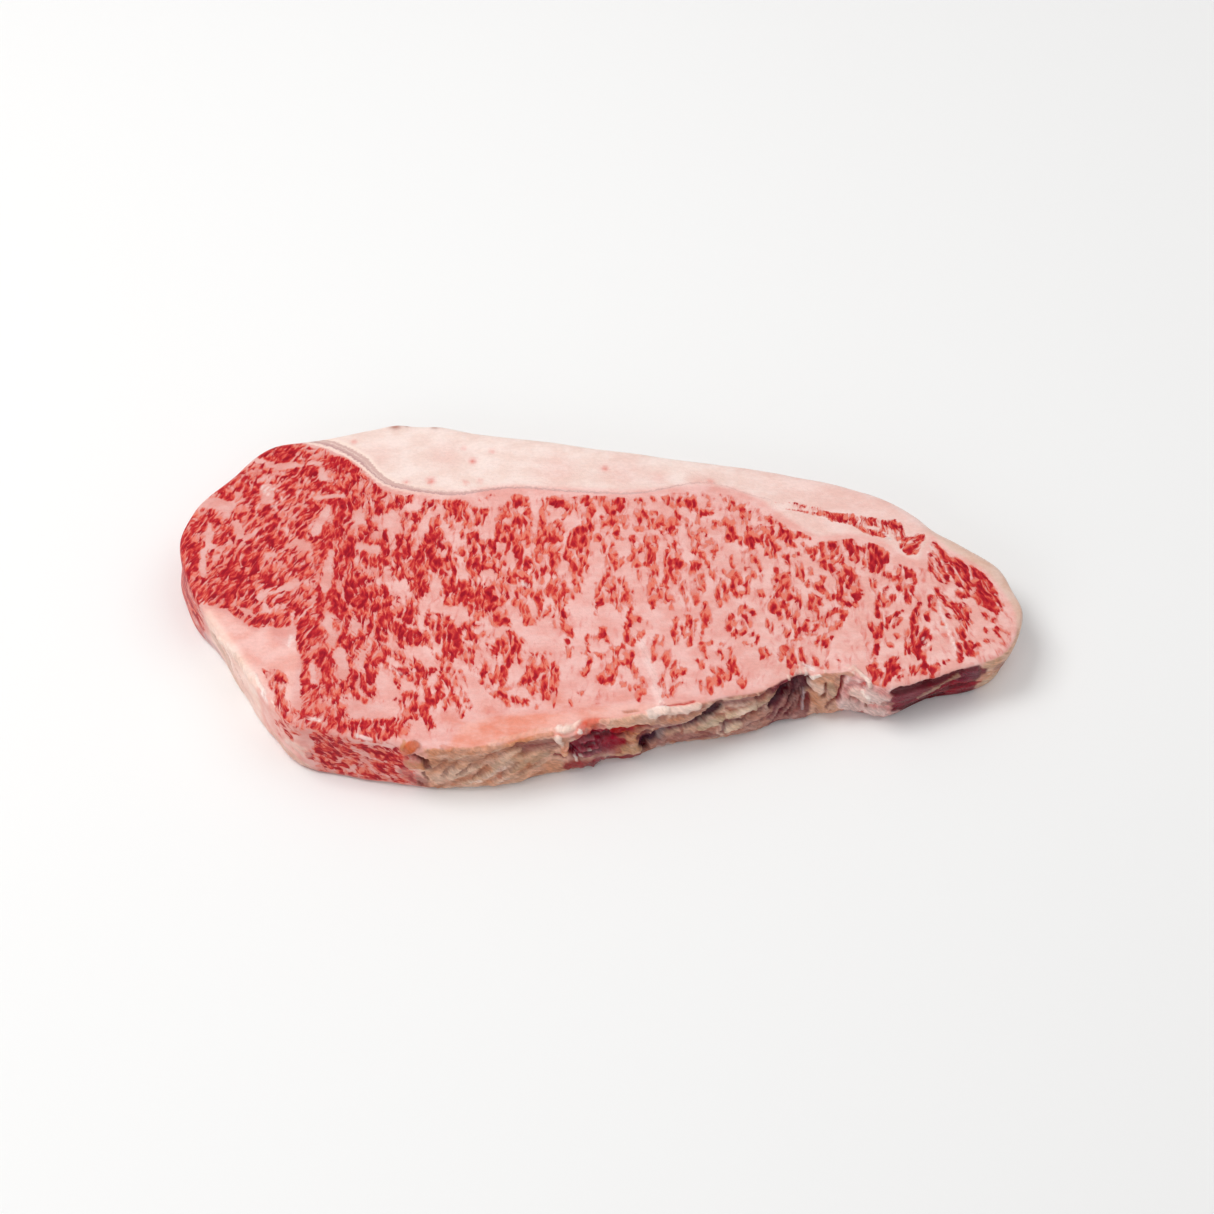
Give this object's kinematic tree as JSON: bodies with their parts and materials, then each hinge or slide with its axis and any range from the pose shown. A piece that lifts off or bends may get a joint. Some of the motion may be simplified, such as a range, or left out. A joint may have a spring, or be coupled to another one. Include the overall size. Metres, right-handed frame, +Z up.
{
  "type": "raw sirloin steak",
  "caption": "Raw marbled sirloin steak: a flat slice with a broad head, a tapering tail and a fat cap along its back edge.",
  "frame": {"origin": "under the middle of the slice, on the cut face that it lies on", "axes": "+X from the broad head to the narrow tail, +Y towards the fat cap, +Z up through the thickness"},
  "size_m": [0.2518, 0.125, 0.0198],
  "materials": {
    "marbled_beef": "moist red lean in pale pink fat, soft gloss"
  },
  "bodies": {
    "root": {"steak": "marbled_beef"}
  },
  "joints": []
}
